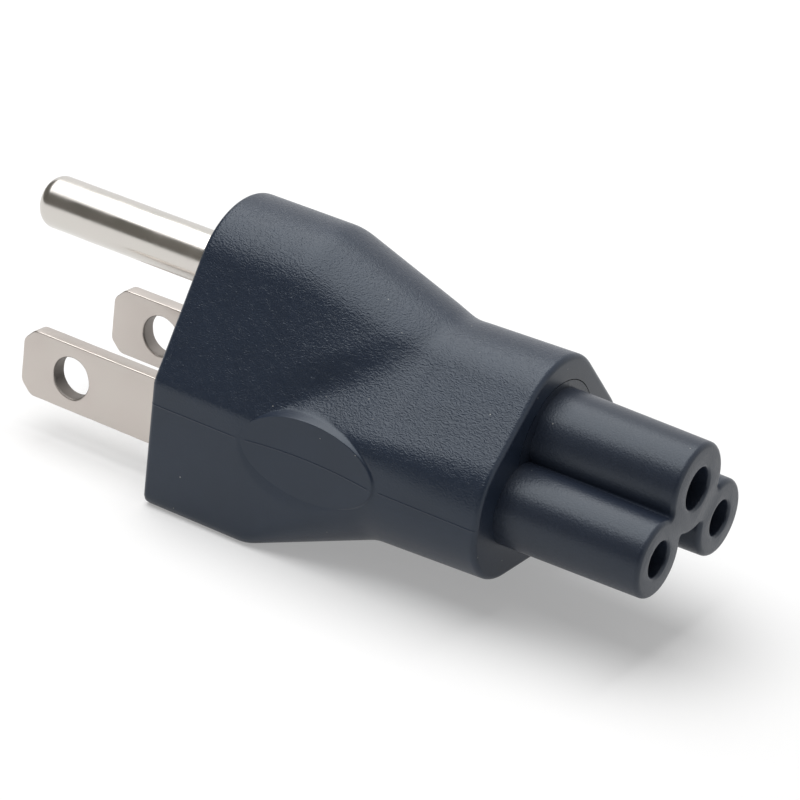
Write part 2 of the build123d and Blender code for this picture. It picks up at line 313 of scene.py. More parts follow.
for blade_name in ("line_blade", "neutral_blade"):
    blade_low, blade_high = box_in_mm(blade_name)
    hole = mount_at[blade_name + "_hole"]
    shank_end = blade_high.x - barrel_length
    clipped = [
        Vector((blade_low.x, blade_low.z + blade_tip_clip)),
        Vector((blade_low.x + blade_tip_clip, blade_low.z)),
        Vector((shank_end - blade_shank_clip, blade_low.z)),
        Vector((shank_end, blade_low.z + blade_shank_clip)),
        Vector((shank_end, blade_high.z - blade_shank_clip)),
        Vector((shank_end - blade_shank_clip, blade_high.z)),
        Vector((blade_low.x + blade_tip_clip, blade_high.z)),
        Vector((blade_low.x, blade_high.z - blade_tip_clip)),
    ]
    shank_hole = (shank_end - barrel_wall - shank_hole_setback, hole.z)
    blade_shell = bmesh.new()
    add_plate(
        blade_shell,
        [
            (rounded_outline(clipped, blade_corner_round, blade_outline_step), blade_edge_round),
            (circle_outline((hole.x, hole.z), blade_hole_radius, blade_hole_points, -1), blade_hole_roll),
            (circle_outline(shank_hole, blade_shank_hole_radius, shank_hole_points, -1), blade_edge_round),
        ],
        hole.y,
        blade_thickness,
    )
    add_turned(
        blade_shell,
        [
            (shank_end - barrel_wall, 0),
            (shank_end - barrel_wall, conductor_radius + barrel_wall),
            (blade_high.x, conductor_radius + barrel_wall),
            (blade_high.x, conductor_radius),
            (shank_end, conductor_radius),
            (shank_end, 0),
        ],
        hole,
        barrel_segments,
    )
    finish_piece(blade_name + "_plate", blade_shell, blade_metal, "nickel_plate", blade_name)

# Ground pin: turned from brass rod and nickel plated, with a blunt rounded tip. Behind the plug face it steps
# down to a grooved shank with a crimp cup, which the moulding hides.
pin_tip_round = 1.2
pin_shank_radius = 2.1
pin_groove_depth = 0.5
pin_groove_width = 1.2
pin_shank_reach = 2.4
pin_segments = 128
pin_tip_steps = 14

pin_low, pin_high = box_in_mm("ground_pin")
bridge_low, bridge_high = box_in_mm("blade_bridge")
pin_radius = (pin_high.z - pin_low.z) / 2
pin_axis = mount_at["ground_pin"]
pin_shank_end = bridge_high.x + pin_shank_reach
groove_start = bridge_high.x + (pin_shank_reach - pin_groove_width) / 2
pin_profile = [(pin_low.x, 0)]
pin_profile += [
    (pin_low.x + pin_tip_round * (1 - math.cos(turn)), pin_radius - pin_tip_round * (1 - math.sin(turn)))
    for turn in quarter_turns(pin_tip_steps)
]
pin_profile += [
    (bridge_low.x, pin_radius),
    (bridge_low.x, pin_shank_radius),
    (groove_start, pin_shank_radius),
    (groove_start, pin_shank_radius - pin_groove_depth),
    (groove_start + pin_groove_width, pin_shank_radius - pin_groove_depth),
    (groove_start + pin_groove_width, pin_shank_radius),
    (pin_shank_end, pin_shank_radius),
    (pin_shank_end, conductor_radius + barrel_wall),
    (pin_high.x, conductor_radius + barrel_wall),
    (pin_high.x, conductor_radius),
    (pin_shank_end, conductor_radius),
    (pin_shank_end, 0),
]
pin_metal = plated_metal("pin_nickel", (0.61, 0.585, 0.55), 0.21, (0.6, 4.0, 4.0), 0.001)
pin_shell = bmesh.new()
add_turned(pin_shell, pin_profile, pin_axis, pin_segments)
finish_piece("ground_pin_rod", pin_shell, pin_metal, "nickel_plate", "ground_pin")

# Bridge: a hard plastic plate, moulded first with slots for the blades and a hole for the pin. It is
# flush with the plug face, where only its end and a hairline seam show.
plastic_gloss = 0.42
plastic_sheen = (0.88, 0.95, 1, 1)
dust_colour = (0.3, 0.3, 0.29, 1)
# painted shade in the notch between the lobes: the specular level there, and the reach over which it returns to
# normal
notch_gloss = 0.02
notch_shade_from = 0.1
notch_shade_to = 0.7


def dusted(node, in_mm, shade, spacing, size, share):
    """Strew a colour with small pale specks, a share of them kept."""
    specks = node("ShaderNodeTexVoronoi", feature="F1", _Vector=in_mm, _Scale=1 / spacing)
    near = node("ShaderNodeMath", operation="LESS_THAN", _Value=specks.outputs["Distance"], _1=size / spacing)
    chosen = node("ShaderNodeSeparateColor", _Color=specks.outputs["Color"])
    few = node("ShaderNodeMath", operation="LESS_THAN", _Value=chosen.outputs["Red"], _1=share)
    kept = node("ShaderNodeMath", operation="MULTIPLY", _Value=near.outputs["Value"], _1=few.outputs["Value"])
    mixed = node("ShaderNodeMix", data_type="RGBA", _Factor=kept.outputs["Value"], _A=shade, _B=dust_colour)
    return mixed.outputs["Result"]


def mottled(node, clouds, colour, mottle):
    """Vary a colour with clouds, by a share to either side."""
    darker, lighter = ((*[share * c for c in colour], 1) for share in (1 - mottle, 1 + mottle))
    tint = node("ShaderNodeMix", data_type="RGBA", _Factor=clouds.outputs["Fac"], _A=darker, _B=lighter)
    return tint.outputs["Result"]


def satin_plastic(name, colour, roughness, mottle, notch=None):
    """Smooth moulded plastic with faint flow clouds, a soft unevenness, a few specks, and painted shade in a
    notch, where the specular is turned down.
    """
    material, shader, node, wire, in_mm = new_material(name)
    shader.inputs["Specular IOR Level"].default_value = plastic_gloss
    shader.inputs["Specular Tint"].default_value = plastic_sheen
    clouds = node("ShaderNodeTexNoise", _Vector=in_mm, _Scale=0.45, _Detail=4.0, _Roughness=0.6)
    fine = node("ShaderNodeTexNoise", _Vector=in_mm, _Scale=6.0, _Detail=3.0)
    shade = mottled(node, clouds, colour, mottle)
    wire(dusted(node, in_mm, shade, 1.6, 0.06, 0.25), shader.inputs["Base Color"])
    gloss = node(
        "ShaderNodeMapRange", _Value=fine.outputs["Fac"], _From_Min=0.3, _From_Max=0.7,
        _To_Min=roughness - 0.05, _To_Max=roughness + 0.05,
    )
    wire(gloss.outputs["Result"], shader.inputs["Roughness"])
    bump = node("ShaderNodeBump", _Strength=0.7, _Distance=0.03 * mm, _Height=fine.outputs["Fac"])
    wire(bump.outputs["Normal"], shader.inputs["Normal"])
    # painted shade: near the given notch the specular level falls to notch_gloss, so the crease between the
    # lobes reads dark
    if notch:
        folded = node("ShaderNodeVectorMath", operation="ABSOLUTE", _Vector=in_mm).outputs["Vector"]
        across = node("ShaderNodeVectorMath", operation="MULTIPLY", _Vector=folded, _1=(0, 1, 1))
        across = across.outputs["Vector"]
        reach = node("ShaderNodeVectorMath", operation="DISTANCE", _Vector=across, _1=(0, *notch))
        clear = node(
            "ShaderNodeMapRange", _Value=reach.outputs["Value"],
            _From_Min=notch_shade_from, _From_Max=notch_shade_to, _To_Min=notch_gloss, _To_Max=plastic_gloss,
        )
        wire(clear.outputs["Result"], shader.inputs["Specular IOR Level"])
    return material


def dress_solid(node_name, material):
    """Give a solid that shows as it is its material."""
    slots = frame["nodes"][node_name].data.materials
    slots.clear()
    slots.append(material)


dress_solid("blade_bridge", satin_plastic("bridge_plastic", (0.032, 0.034, 0.04), 0.42, 0.12))

# Contact sleeves and leads: brass sleeves rolled from strip inside the socket's holes, each on a stranded
# copper lead in its own sheath. The moulding hides all but the sleeves' ends.
contact_brass = plated_metal("contact_brass", (0.62, 0.45, 0.2), 0.3, (0.5, 4.0, 4.0), 0.003)
copper_strand = plated_metal("copper_strand", (0.7, 0.36, 0.2), 0.35, (0.6, 5.0, 5.0), 0.02)
sheath_colours = {"line": (0.02, 0.02, 0.022), "neutral": (0.72, 0.72, 0.69), "earth": (0.05, 0.33, 0.1)}
for pole, sheath_colour in sheath_colours.items():
    dress_solid(pole + "_contact", contact_brass)
    dress_solid(pole + "_conductor", copper_strand)
    dress_solid(pole + "_insulation", satin_plastic(pole + "_sheath", sheath_colour, 0.4, 0.06))

# Socket core: moulded in one piece of hard plastic, with a three-lobed nose, a hole through each lobe, and a
# collar and a flange that the neck is moulded round. Nose and collar come out of the front face.
live_lobe_radius = 3.45
earth_lobe_radius = 4.0
lobe_notch_round = 0.15
lobe_draft = 0.1
nose_rim_round = 0.45
core_collar_radius = 5.6
core_collar_drop = 0.95
core_flange_length = 2.2
core_flange_margin = 1.3
mouth_depth = 2.5
mouth_round = 0.28
live_mouth_radius = 1.53
earth_mouth_radius = 1.8
live_sleeve_radius = 1.7
earth_sleeve_radius = 2.0
core_overlap = 0.5
cut_past = 1
nose_rim_steps = 6
notch_steps = 6
live_lobe_steps = 72
earth_lobe_steps = 26
earth_under_steps = 6
collar_points = 120
flange_arc_steps = 20
bore_segments = 72

core_low, core_high = box_in_mm("socket_core")
body_low, body_high = box_in_mm("overmould_body")
front_x = body_high.x
line_hole, neutral_hole, earth_hole = (mount_at[pole + "_socket"] for pole in sheath_colours)
live_offset = neutral_hole.y
socket_line_z = line_hole.z
earth_line_z = earth_hole.z


def add_arc(points, centre, radius, start, end, steps):
    """Run along an arc, leaving out its last point."""
    for k in range(steps):
        points.append(on_circle(centre, radius, start + (end - start) * k / steps))


def nose_outline(growth):
    """Run anticlockwise round the three lobes in (y, z), with the notches between them rounded."""
    live_radius = live_lobe_radius + growth
    earth_radius = earth_lobe_radius + growth
    notch = lobe_notch_round - growth
    rise = earth_line_z - socket_line_z
    span = math.hypot(live_offset, rise)
    bearing = math.atan2(rise, -live_offset)
    at_live, at_earth = live_radius + notch, earth_radius + notch
    swing = math.acos((at_live**2 + span**2 - at_earth**2) / (2 * at_live * span))
    upper, lower = bearing - swing, bearing + swing
    right = (live_offset, socket_line_z)
    earth = (0, earth_line_z)
    upper_notch = (right[0] + at_live * math.cos(upper), right[1] + at_live * math.sin(upper))
    lower_notch = (right[0] + at_live * math.cos(lower), right[1] + at_live * math.sin(lower))
    earth_upper = math.atan2(upper_notch[1] - earth[1], upper_notch[0] - earth[0])
    earth_lower = math.atan2(lower_notch[1] - earth[1], lower_notch[0] - earth[0])
    points = []
    add_arc(points, (0, earth[1]), earth_radius, -math.pi / 2, earth_lower, earth_under_steps)
    add_arc(points, lower_notch, notch, earth_lower + math.pi, lower - math.pi, notch_steps)
    add_arc(points, right, live_radius, lower - 2 * math.pi, upper, live_lobe_steps)
    add_arc(points, upper_notch, notch, upper + math.pi, earth_upper + math.pi, notch_steps)
    add_arc(points, earth, earth_radius, earth_upper, math.pi / 2, earth_lobe_steps)
    mirrored = [Vector((-point.x, point.y)) for point in points[1:]]
    return points + [Vector((0, earth_line_z + earth_radius))] + mirrored[::-1]


def prism_shell(rows):
    """Close a run of outlines in (y, z), each at its own x, into a shell."""
    shell = bmesh.new()
    rings = [add_ring(shell, [(x, point.x, point.y) for point in outline]) for x, outline in rows]
    for first, second in zip(rings, rings[1:]):
        join_rings(shell, first, second)
    fill_rings(shell, rings[:1], 1, 2)
    fill_rings(shell, rings[-1:], 1, 2)
    return shell


def hull_outline(circles, steps):
    """Run anticlockwise round the tight outline of circles of (y, z, radius), listed anticlockwise."""
    points = []
    count = len(circles)
    bearings = []
    for i in range(count):
        y, z, radius = circles[i]
        next_y, next_z, next_radius = circles[(i + 1) % count]
        span = math.hypot(next_y - y, next_z - z)
        lean = math.acos((radius - next_radius) / span)
        bearings.append(math.atan2(next_z - z, next_y - y) - lean)
    for i in range(count):
        start, end = bearings[i - 1], bearings[i]
        while end < start:
            end += 2 * math.pi
        *centre, radius = circles[i]
        add_arc(points, centre, radius, start, end, steps)
        points.append(on_circle(centre, radius, end))
    return points


def combine(base, others, operation):
    """Join shells to a base shell or cut them out of it, exactly."""
    made = []
    for index, shell in enumerate([base, *others]):
        bmesh.ops.recalc_face_normals(shell, faces=shell.faces)
        mesh = bpy.data.meshes.new(f"tool_{index}")
        shell.to_mesh(mesh)
        shell.free()
        made.append(add_object(f"tool_{index}", mesh))
    for tool in made[1:]:
        step = made[0].modifiers.new("step", "BOOLEAN")
        step.operation = operation
        step.solver = "EXACT"
        step.object = tool
    bpy.context.view_layer.update()
    evaluated = made[0].evaluated_get(bpy.context.evaluated_depsgraph_get())
    result = bmesh.new()
    result.from_mesh(evaluated.to_mesh())
    for tool in made:
        mesh = tool.data
        bpy.data.objects.remove(tool)
        bpy.data.meshes.remove(mesh)
    return result


core_back = core_low.x
nose_end = core_high.x
flange_front = core_back + core_flange_length
rim_turns = quarter_turns(nose_rim_steps)
nose_rows = [(x, nose_outline(lobe_draft)) for x in (core_back + core_overlap, front_x)]
for share in (0.25, 0.5, 0.75):
    nose_rows.append((front_x + share * (nose_end - front_x), nose_outline(lobe_draft * (1 - 2 * share))))
nose_rows += [
    (
        nose_end - nose_rim_round * (1 - math.sin(turn)),
        nose_outline(-lobe_draft - nose_rim_round * (1 - math.cos(turn))),
    )
    for turn in rim_turns
]
collar_circle = circle_outline((0, earth_line_z - core_collar_drop), core_collar_radius, collar_points)
flange_hull = hull_outline(
    [
        (-live_offset, socket_line_z, live_lobe_radius + core_flange_margin),
        (live_offset, socket_line_z, live_lobe_radius + core_flange_margin),
        (0, earth_line_z, earth_lobe_radius + core_flange_margin),
    ],
    flange_arc_steps,
)
core_solid = combine(
    prism_shell(nose_rows),
    [
        prism_shell([(flange_front - core_overlap, collar_circle), (front_x, collar_circle)]),
        prism_shell([(core_back, flange_hull), (flange_front, flange_hull)]),
    ],
    "UNION",
)
bore_cutters = []
for hole, mouth_radius, sleeve_radius in (
    (line_hole, live_mouth_radius, live_sleeve_radius),
    (neutral_hole, live_mouth_radius, live_sleeve_radius),
    (earth_hole, earth_mouth_radius, earth_sleeve_radius),
):
    mouth_profile = [
        (core_back - cut_past, 0),
        (core_back - cut_past, sleeve_radius),
        (nose_end - mouth_depth, sleeve_radius),
        (nose_end - mouth_depth, mouth_radius),
    ]
    mouth_profile += [
        (nose_end - mouth_round * (1 - math.sin(turn)), mouth_radius + mouth_round * (1 - math.cos(turn)))
        for turn in rim_turns
    ]
    mouth_profile += [(nose_end + cut_past, mouth_radius + mouth_round), (nose_end + cut_past, 0)]
    cutter = bmesh.new()
    add_turned(cutter, mouth_profile, hole, bore_segments)
    bore_cutters.append(cutter)
core_shell = combine(core_solid, bore_cutters, "DIFFERENCE")
notch_side = [spot for spot in nose_outline(0) if spot.x > 0]
notch_side = [spot for spot in notch_side if socket_line_z + live_lobe_radius / 2 < spot.y < earth_line_z]
notch_at = min(notch_side, key=lambda spot: spot.x)
# the notch's spot is passed in for painted shade in the crease between the lobes
core_plastic = satin_plastic("core_plastic", (0.0195, 0.026, 0.042), 0.34, 0.15, notch_at)
finish_piece("socket_core_moulding", core_shell, core_plastic, "core_plastic", "socket_core", crease=40)

# Moulded body: soft black plastic moulded round the bridge, the blades, the leads and the socket core. Its
# upper part is grained and its lower part smoother, and a parting line runs along each side and across a
# scooped finger pad.
head_length = 9.7
taper_length = 12.2
floor_taper_lead = 0.9
floor_taper_length = 10.8
neck_half_width = 11.1
neck_top_z = 20.95
neck_roof_rise = 0.28
neck_floor_z = 3.0
neck_floor_rise = 0.4
head_ridge_radius = 6.85
neck_ridge_radius = 6.3
head_shoulder_z = 11.55
neck_shoulder_z = 12.7
head_shoulder_round = 1.5
neck_shoulder_round = 3.6
front_shoulder_round = 7.0
head_corner_round = 1.0
neck_corner_round = 5.7
bend_half_length = 0.8
rim_round = 0.5
rim_steps = 8
pad_half_length = 6.5
pad_half_height = 3.475
pad_lead = 6.08
pad_centre_z = 9.68
pad_sink = 0.05
pad_scoop = 0.2
pad_wall_slope = 0.3
pad_end_wall_slope = 0.8
pad_wall_lead = 2.2
pad_wall_spread = 3.5
pad_blend_slope = 0.15
pad_blend_reach = 2.2
pad_crest_round = 0.05
pad_root_round = 0.05
pad_edge_rings = (
    -0.34, -0.22, -0.14, -0.08, -0.04, -0.01, 0.015, 0.035, 0.055, 0.08, 0.105, 0.13, 0.16, 0.2, 0.26, 0.34
)
pad_ring_points = 200
pad_ring_clear = 0.12
hollow_depth = 0.58
hollow_start_x = -4.5
hollow_end_x = 11.0
hollow_foot_z = 12.5
hollow_start_z = 10.8
hollow_climb = 0.56
hollow_least_reach = 1.9
hollow_reach_up = 3.6
hollow_fade = 1.5
side_low_z = 4.6
side_high_z = 15.0
skin_step = 0.3
parting_z = 9.5
parting_bead = 0.032
parting_bow = 0.35
parting_bow_reach = 2.0
parting_half_width = 0.055
parting_clear = 0.28
parting_rows = (-0.2, -0.12, -0.06, -0.03, 0, 0.03, 0.06, 0.12, 0.2)
smooth_grain = 0.2
grain_start_z = 10.2
grain_full_z = 12.2
grain_fade = 0.15
face_grain = 0.12
lower_points = 34
upper_points = 44
corner_steps = 24
ridge_steps = 40
side_weld_gap = 1e-5
seam_gap = 0.07
nose_seam_gap = 0.01
bridge_margin = 3.6
bridge_arc_steps = 16
grain_cells_per_mm = (4.2, 8.0, 8.0)
grain_depth = 0.03
body_mottle = 0.15

face_x = body_low.x
head_half_width = body_high.y
head_top_z = body_high.z
taper_x = face_x + head_length
neck_x = taper_x + taper_length
pad_centre_x = taper_x + pad_lead
pad_crown_y = head_half_width - pad_sink
Section = namedtuple(
    "Section",
    "half_width floor_z ridge_radius ridge_z corner_round shoulder_round slope slope_reach bend_y bend_z",
)


def eased_ramp(x, start, end):
    """Give the share of a straight taper passed at x, with the bends at its two ends rounded."""

    def hinge(distance):
        """Rise from nothing to a straight slope through a rounded bend."""
        if distance <= -bend_half_length:
            return 0
        if distance >= bend_half_length:
            return distance
        return (distance + bend_half_length) ** 2 / (4 * bend_half_length)

    return (hinge(x - start) - hinge(x - end)) / (end - start)


def section_at(x):
    """Work out the moulding's cross-section at x: its widths, heights, rounds and the slope of its shoulder."""
    roof = eased_ramp(x, taper_x, neck_x)
    floor = eased_ramp(x, taper_x + floor_taper_lead, taper_x + floor_taper_lead + floor_taper_length)
    along_neck = max(x - neck_x, 0) / (front_x - neck_x)
    half_width = head_half_width + roof * (neck_half_width - head_half_width)
    floor_z = floor * neck_floor_z + along_neck * neck_floor_rise
    top_z = head_top_z + roof * (neck_top_z - head_top_z) + along_neck * neck_roof_rise
    ridge_radius = head_ridge_radius + roof * (neck_ridge_radius - head_ridge_radius)
    ridge_z = top_z - ridge_radius
    corner_round = head_corner_round + floor * (neck_corner_round - head_corner_round)
    shoulder_round = head_shoulder_round + roof * (neck_shoulder_round - head_shoulder_round)
    shoulder_round += along_neck * (front_shoulder_round - neck_shoulder_round)
    drop = head_shoulder_z + roof * (neck_shoulder_z - head_shoulder_z) - ridge_z
    slope = math.atan2(drop, half_width) + math.acos(ridge_radius / math.hypot(half_width, drop))
    slope_reach = ridge_radius + math.sin(slope) * ridge_z
    bend_y = half_width - shoulder_round
    bend_z = (slope_reach - shoulder_round - math.cos(slope) * bend_y) / math.sin(slope)
    return Section(
        half_width, floor_z, ridge_radius, ridge_z, corner_round,
        shoulder_round, slope, slope_reach, bend_y, bend_z,
    )


def width_at(section, z):
    """Give the half width of a cross-section at height z."""
    corner_z = section.floor_z + section.corner_round
    if z < corner_z:
        reach = math.sqrt(section.corner_round**2 - (corner_z - z) ** 2)
        return section.half_width - section.corner_round + reach
    if z < section.bend_z:
        return section.half_width
    if z < section.bend_z + section.shoulder_round * math.sin(section.slope):
        return section.bend_y + math.sqrt(section.shoulder_round**2 - (z - section.bend_z) ** 2)
    if z < section.ridge_z + section.ridge_radius * math.sin(section.slope):
        return (section.slope_reach - math.sin(section.slope) * z) / math.cos(section.slope)
    return math.sqrt(max(0, section.ridge_radius**2 - (z - section.ridge_z) ** 2))


def spread(points, count):
    """Spread a number of points evenly along a line of points, ends included."""
    lengths = [0]
    for first, second in zip(points, points[1:]):
        lengths.append(lengths[-1] + (second - first).length)
    even = []
    k = 0
    for i in range(count):
        goal = lengths[-1] * i / (count - 1)
        while k < len(points) - 2 and lengths[k + 1] < goal:
            k += 1
        share = (goal - lengths[k]) / (lengths[k + 1] - lengths[k])
        even.append(points[k].lerp(points[k + 1], share))
    return even


def lower_line(section):
    """Run from the middle of the floor up to the side's lowest level, in (y, z)."""
    half_width, floor_z, corner_round = section.half_width, section.floor_z, section.corner_round
    line = [Vector((0, floor_z))]
    turn_limit = math.pi / 2
    if side_low_z < floor_z + corner_round:
        turn_limit = math.acos((floor_z + corner_round - side_low_z) / corner_round)
    for k in range(corner_steps + 1):
        turn = turn_limit * k / corner_steps - math.pi / 2
        line.append(Vector((
            half_width - corner_round * (1 - math.cos(turn)), floor_z + corner_round * (1 + math.sin(turn))
        )))
    if side_low_z > floor_z + corner_round:
        line.append(Vector((half_width, side_low_z)))
    return spread(line, lower_points)


def upper_line(section):
    """Run from the side's highest level over the shoulder to the top of the ridge, in (y, z)."""
    ridge_radius, ridge_z, slope = section.ridge_radius, section.ridge_z, section.slope
    line = [Vector((width_at(section, side_high_z), side_high_z))]
    touch_z = ridge_z + ridge_radius * math.sin(slope)
    start = slope if touch_z > side_high_z else math.asin((side_high_z - ridge_z) / ridge_radius)
    for k in range(ridge_steps + 1):
        turn = start + (math.pi / 2 - start) * k / ridge_steps
        spot = Vector((ridge_radius * math.cos(turn), ridge_z + ridge_radius * math.sin(turn)))
        if (spot - line[-1]).length > weld_gap:
            line.append(spot)
    return spread(line, upper_points)


def pad_distance(x, z):
    """Give roughly how far a spot on the side lies outside the pad's edge."""
    across = (x - pad_centre_x) / pad_half_length
    up = (z - pad_centre_z) / pad_half_height
    reach = math.hypot(across, up)
    steepness = math.hypot(across / pad_half_length, up / pad_half_height)
    return (reach - 1) * reach / max(steepness, weld_gap)


def pad_middle(x):
    """Give 1 at the middle of the pad's length, falling to nothing at its two ends."""
    return max(0, 1 - ((x - pad_centre_x) / pad_half_length) ** 2)


def wall_slope_at(x):
    """Give the lean of the wall round the pad, which is flatter toward the socket."""
    share = min(1, max(0, (x - pad_centre_x - pad_wall_lead) / pad_wall_spread))
    return pad_wall_slope + share * (pad_end_wall_slope - pad_wall_slope)


def bowed(x, z):
    """Lift a level near the parting line as the line is lifted across the pad."""
    return z + parting_bow * pad_middle(x) * max(0, 1 - ((z - parting_z) / parting_bow_reach) ** 2)


def bead_at(x, z):
    """Give how far the parting bead stands out."""
    return parting_bead * math.exp(-(((z - bowed(x, parting_z)) / parting_half_width) ** 2))


def hollow_at(x, z):
    """Give the hollow in the taper's shoulder, between the head's steep slope and the neck's flatter one."""
    along = (x - hollow_start_x) / (hollow_end_x - hollow_start_x)
    deepest_z = hollow_start_z + hollow_climb * (x - hollow_start_x)
    reach_down = max(hollow_least_reach, deepest_z - hollow_foot_z)
    up = (z - deepest_z) / (hollow_reach_up if z > deepest_z else reach_down)
    if not 0 < along < 1 or abs(up) > 1:
        return 0
    return hollow_depth * math.sin(math.pi * along) ** hollow_fade * math.cos(math.pi / 2 * up) ** 2


def soft_least(first, second, softness):
    """Give the lower of two heights, with the crest where they meet rounded."""
    return (first + second - math.hypot(first - second, softness)) / 2


def side_y(section, x, z):
    """Give the side's distance from the mid plane: shell, scooped pad, pad wall and parting bead."""
    outside = pad_distance(x, z)
    skin = width_at(section, z) - hollow_at(x, z)
    if outside < pad_blend_reach:
        scoop = pad_crown_y - pad_scoop * pad_middle(x)
        step = max(0, scoop - skin)
        pad = soft_least(scoop, scoop - outside / wall_slope_at(x), min(pad_crest_round, step / 2))
        if outside < 0:
            skin = pad
        elif step > 0:
            skin = -soft_least(-skin, -pad, min(pad_root_round, step / 2))
        else:
            skin = min(skin, scoop + outside * pad_blend_slope)
    return skin + bead_at(x, z)


def grain_at(section, x, z):
    """Give the strength of the grain on the side: none on a pad or its wall, little below the shoulder."""
    wall_foot = max(0, pad_crown_y - width_at(section, z)) * wall_slope_at(x)
    clear = min(1, max(0, (pad_distance(x, z) - wall_foot) / grain_fade))
    return clear * grain_by_height(z)


def grain_by_height(z):
    """Give the strength of the grain at height z: the smooth lower half, then the grained upper half."""
    share = min(1, max(0, (z - grain_start_z) / (grain_full_z - grain_start_z)))
    return smooth_grain + (1 - smooth_grain) * share


def evenly(start, end, step):
    """Give places from start to end about one step apart, ends included."""
    count = round((end - start) / step)
    return [start + (end - start) * k / count for k in range(count + 1)]


body_shell = bmesh.new()
grain_layer = body_shell.verts.layers.float.new("grain")
column_xs = evenly(face_x + rim_round, front_x - rim_round, skin_step)
side_zs = [z for z in evenly(side_low_z, side_high_z, skin_step) if abs(z - parting_z) > parting_clear]
side_zs = sorted(side_zs + [parting_z + row for row in parting_rows])
sections = [section_at(x) for x in column_xs]


def skin_vertex(x, y, z, grain):
    """Add a vertex of the skin, with the strength of the grain there."""
    vertex = body_shell.verts.new((x, y, z))
    vertex[grain_layer] = grain
    return vertex


# each column is a closed ring: floor middle, near or far side, ridge, other side
rings = []
for x, section in zip(column_xs, sections):
    lower = [skin_vertex(x, point.x, point.y, smooth_grain) for point in lower_line(section)]
    upper = [skin_vertex(x, point.x - hollow_at(x, point.y), point.y, 1) for point in upper_line(section)]
    lower_mirror = [skin_vertex(x, -v.co.y, v.co.z, smooth_grain) for v in lower[1:]]
    upper_mirror = [skin_vertex(x, -v.co.y, v.co.z, 1) for v in upper[:-1]]
    rings.append((lower, upper, lower_mirror, upper_mirror))
for (low_a, up_a, low_ma, up_ma), (low_b, up_b, low_mb, up_mb) in zip(rings, rings[1:]):
    strips = (
        (low_ma[::-1] + low_a, low_mb[::-1] + low_b),
        (up_a + up_ma[::-1], up_b + up_mb[::-1]),
    )
    for first, second in strips:
        for i in range(len(first) - 1):
            body_shell.faces.new((first[i], first[i + 1], second[i + 1], second[i]))

# the two sides are filled between the strips, with the pad's edge and the parting line as fixed lines
end_rows = {}
for side in (1, -1):
    places, fixed_vertices, edges = [], [], []

    def put(x, z, vertex=None):
        """List a spot of the side, with its vertex where the strips already have it."""
        places.append(Vector((x, z)))
        fixed_vertices.append(vertex)
        return len(places) - 1

    low_row = [ring[0][-1] if side == 1 else ring[2][-1] for ring in rings]
    high_row = [ring[1][0] if side == 1 else ring[3][0] for ring in rings]
    low_ids = [put(x, side_low_z, vertex) for x, vertex in zip(column_xs, low_row)]
    high_ids = [put(x, side_high_z, vertex) for x, vertex in zip(column_xs, high_row)]
    ends = []
    for column in (0, -1):
        x = column_xs[column]
        made = [
            skin_vertex(x, side * side_y(sections[column], x, z), z, grain_by_height(z)) for z in side_zs[1:-1]
        ]
        ids = [low_ids[column]] + [put(x, z, v) for z, v in zip(side_zs[1:-1], made)] + [high_ids[column]]
        ends.append(ids)
        end_rows[side, column] = [low_row[column]] + made + [high_row[column]]
    for run in (low_ids, high_ids, *ends):
        edges += list(zip(run, run[1:]))
    for x in column_xs[1:-1]:
        for level in side_zs[1:-1]:
            z = bowed(x, level)
            outside = pad_distance(x, z)
            if not min(pad_edge_rings) - pad_ring_clear < outside < max(pad_edge_rings) + pad_ring_clear:
                put(x, z)
    for ring_offset in pad_edge_rings:
        ring_ids = []
        for k in range(pad_ring_points):
            turn = 2 * math.pi * k / pad_ring_points
            edge_spot = Vector((pad_half_length * math.cos(turn), pad_half_height * math.sin(turn)))
            outward = Vector((pad_half_height * math.cos(turn), pad_half_length * math.sin(turn))).normalized()
            spot = edge_spot + outward * ring_offset
            ring_ids.append(put(pad_centre_x + spot.x, pad_centre_z + spot.y))
        edges += list(zip(ring_ids, ring_ids[1:] + ring_ids[:1]))
    flat, _, triangles, sources, _, _ = delaunay_2d_cdt(places, edges, [], 1, side_weld_gap)
    side_vertices = []
    for spot, source in zip(flat, sources):
        known = fixed_vertices[source[0]] if source else None
        if known is None:
            x, z = spot
            section = section_at(x)
            known = skin_vertex(x, side * side_y(section, x, z), z, grain_at(section, x, z))
        side_vertices.append(known)
    for triangle in triangles:
        body_shell.faces.new([side_vertices[i] for i in triangle])


def whole_ring(column):
    """Collect the closed ring of skin vertices at the first or last column."""
    lower, upper, lower_mirror, upper_mirror = rings[column]
    up_side = end_rows[1, column][1:-1]
    down_side = end_rows[-1, column][1:-1]
    return lower + up_side + upper + upper_mirror[::-1] + down_side[::-1] + lower_mirror[::-1]


def punched_face(ring, x, depth, holes):
    """Close an end of the body at x, leaving a pocket of the given depth where the hole outlines are."""
    points = [Vector((v.co.y, v.co.z)) for v in ring]
    loops = [list(range(len(points)))]
    for hole_line in holes:
        loops.append(list(range(len(points), len(points) + len(hole_line))))
        points += hole_line
    flat, _, triangles, sources, _, owners = delaunay_2d_cdt(points, [], loops, 1, weld_gap)
    top, bottom = {}, {}

    def at_level(i, level, store):
        """Give the vertex of a spot on the face or on the pocket's floor."""
        if i not in store:
            ring_spot = [s for s in sources[i] if s < len(ring)]
            if ring_spot and level == x:
                store[i] = ring[ring_spot[0]]
            else:
                store[i] = body_shell.verts.new((level, *flat[i]))
                store[i][grain_layer] = face_grain
        return store[i]

    uses = {}
    for triangle, owner in zip(triangles, owners):
        outside = list(owner) == [0]
        level, store = (x, top) if outside else (x + depth, bottom)
        body_shell.faces.new([at_level(i, level, store) for i in triangle])
        for i, j in zip(triangle, list(triangle[1:]) + [triangle[0]]):
            uses.setdefault(frozenset((i, j)), []).append(outside)
    for pair, sides in uses.items():
        if sorted(sides) == [False, True]:
            i, j = sorted(pair)
            body_shell.faces.new((top[i], top[j], bottom[j], bottom[i]))


